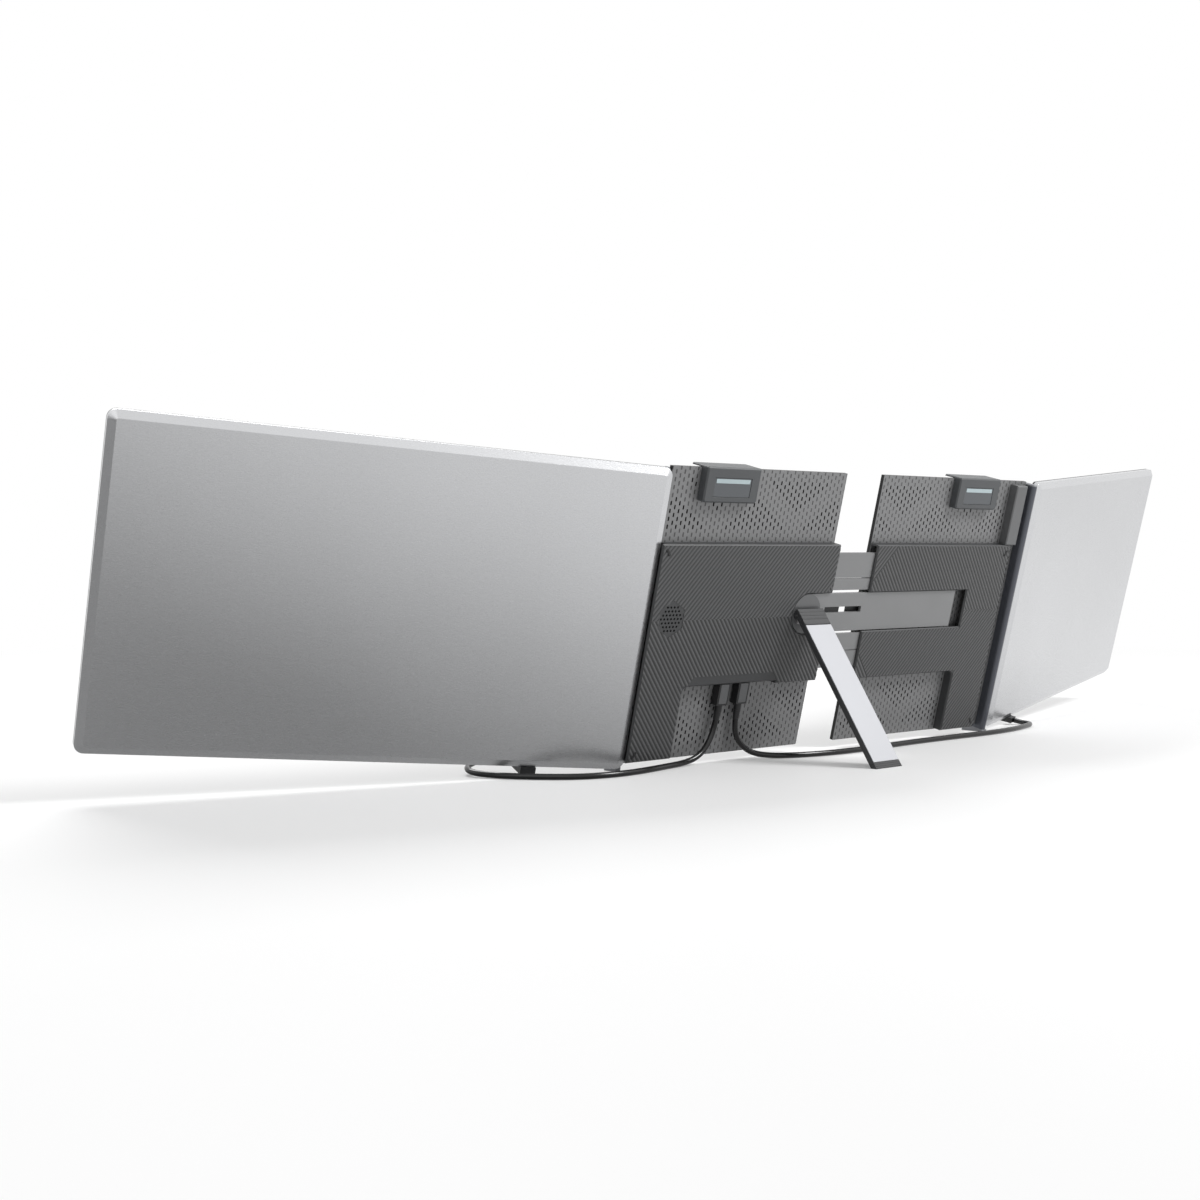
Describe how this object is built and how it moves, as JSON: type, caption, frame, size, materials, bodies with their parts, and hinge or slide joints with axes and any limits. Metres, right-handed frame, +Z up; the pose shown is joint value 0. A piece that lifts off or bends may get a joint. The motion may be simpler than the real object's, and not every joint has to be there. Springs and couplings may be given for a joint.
{
  "type": "laptop screen extender",
  "caption": "two thin screens hinged to a back panel whose perforated halves slide apart behind a laptop lid, with spring clips over its top edge, a turning kickstand and two leads",
  "frame": {"origin": "on the floor under the middle of the outline, the leads and their plugs left out", "axes": "+Z up, -Y the way the screens face, towards the user, +X to the user's right, along the length of the open screens"},
  "size_m": [1.1154, 0.2246, 0.2362],
  "materials": {
    "plate_grey": "fine satin grey, perforated in triangles",
    "lining_black": "soft black lining",
    "cover_dark": "dark grey with fine slanted ridges",
    "rail_grey": "satin grey",
    "slate_bar": "satin slate",
    "cap_grey": "smooth grey",
    "clip_slate": "smooth grey blue",
    "inner_black": "plain black",
    "pin_steel": "bright",
    "spring_steel": "wound wire",
    "disc_grey": "satin dark grey",
    "leg_silver": "satin face with dark edges",
    "hub_black": "dark, finely ridged",
    "foot_rubber": "dark rubber",
    "wing_silver": "satin with a bright bevel",
    "bezel_black": "fine matt black",
    "screen_glass": "smooth dark screen",
    "light_white": "white backlight",
    "board_green": "circuit board",
    "socket_steel": "folded sheet",
    "lead_black": "glossy black lead",
    "plug_black": "moulded black"
  },
  "bodies": {
    "left_half": {"plate_left": "plate_grey", "lining_left": "lining_black", "cover_left": "cover_dark", "speaker": "inner_black", "main_board": "board_green", "usb_sockets": "socket_steel", "hinge_bar_left": "slate_bar", "hinge_pins_left": "pin_steel", "bar_ends_left": "cap_grey", "cover_screws_left": "pin_steel", "tongue": "rail_grey", "tongue_backing": "inner_black", "rail_upper_left": "rail_grey", "rail_lower_left": "rail_grey", "clip_guide_left": "inner_black", "clip_springs_left": "spring_steel", "base_plug_left": "plug_black", "base_plug_right": "plug_black", "cord_left": "lead_black", "cord_right": "lead_black"},
    "right_half": {"plate_right": "plate_grey", "lining_right": "lining_black", "cover_right": "cover_dark", "hinge_bar_right": "slate_bar", "hinge_pins_right": "pin_steel", "bar_ends_right": "cap_grey", "cover_screws_right": "pin_steel", "rail_upper_right": "rail_grey", "rail_lower_right": "rail_grey", "slide_link": "inner_black", "hinge_cover": "cap_grey", "clip_guide_right": "inner_black", "clip_springs_right": "spring_steel"},
    "left_clip": {"clip_left": "clip_slate"},
    "right_clip": {"clip_right": "clip_slate"},
    "turntable": {"turntable_disc": "disc_grey", "turntable_washer": "pin_steel", "leg_bracket": "disc_grey", "leg_pin": "pin_steel"},
    "kickstand": {"leg_hub": "hub_black", "leg": "leg_silver", "leg_foot": "foot_rubber"},
    "left_wing": {"wing_left_back": "wing_silver", "wing_left_bezel": "bezel_black", "wing_left_panel": "screen_glass", "wing_left_backlight": "light_white", "wing_left_board": "board_green", "hinge_arms_left": "pin_steel", "wing_plug_left": "plug_black"},
    "right_wing": {"wing_right_back": "wing_silver", "wing_right_bezel": "bezel_black", "wing_right_panel": "screen_glass", "wing_right_backlight": "light_white", "wing_right_board": "board_green", "hinge_arms_right": "pin_steel", "wing_plug_right": "plug_black"},
    "left_button": {"wing_left_button": "plug_black"},
    "right_button": {"wing_right_button": "plug_black"}
  },
  "joints": [
    {"name": "half_slide", "type": "slide", "parent": "left_half", "child": "right_half", "axis": [-1, 0, 0], "range_m": [-0.0425, 0.02], "deforming": ["cord_right"]},
    {"name": "left_wing_hinge", "type": "hinge", "parent": "left_half", "child": "left_wing", "pos_m": [0.21088, 0.02471, 0.10831], "axis": [0, -0.2394, -0.9709], "range_deg": [-18.75, 161.25], "deforming": ["cord_left"]},
    {"name": "right_wing_hinge", "type": "hinge", "parent": "right_half", "child": "right_wing", "pos_m": [-0.20018, 0.02164, 0.10907], "axis": [0, 0.2394, 0.9709], "range_deg": [-16.86, 163.14], "deforming": ["cord_right"]},
    {"name": "turntable_turn", "type": "hinge", "parent": "left_half", "child": "turntable", "pos_m": [0.05375, 0.0343, 0.10615], "axis": [0, 0.9709, -0.2394], "range_deg": [0, 90]},
    {"name": "leg_hinge", "type": "hinge", "parent": "turntable", "child": "kickstand", "pos_m": [0.05375, 0.03721, 0.10544], "axis": [1, 0, 0], "range_deg": [-47.86, 12]},
    {"name": "left_clip_slide", "type": "slide", "parent": "left_half", "child": "left_clip", "axis": [0, 0.2394, 0.9709], "range_m": [0, 0.011], "stiffness_N_per_m": 300, "springref_m": -0.004, "deforming": ["clip_springs_left"]},
    {"name": "right_clip_slide", "type": "slide", "parent": "right_half", "child": "right_clip", "axis": [0, 0.2394, 0.9709], "range_m": [0, 0.011], "stiffness_N_per_m": 300, "springref_m": -0.004, "deforming": ["clip_springs_right"]},
    {"name": "left_button_press", "type": "slide", "parent": "left_wing", "child": "left_button", "axis": [0, 0.2394, 0.9709], "range_m": [0, 0.0004], "stiffness_N_per_m": 1000, "springref_m": -0.0005},
    {"name": "right_button_press", "type": "slide", "parent": "right_wing", "child": "right_button", "axis": [0, 0.2394, 0.9709], "range_m": [0, 0.0004], "stiffness_N_per_m": 1000, "springref_m": -0.0005}
  ]
}
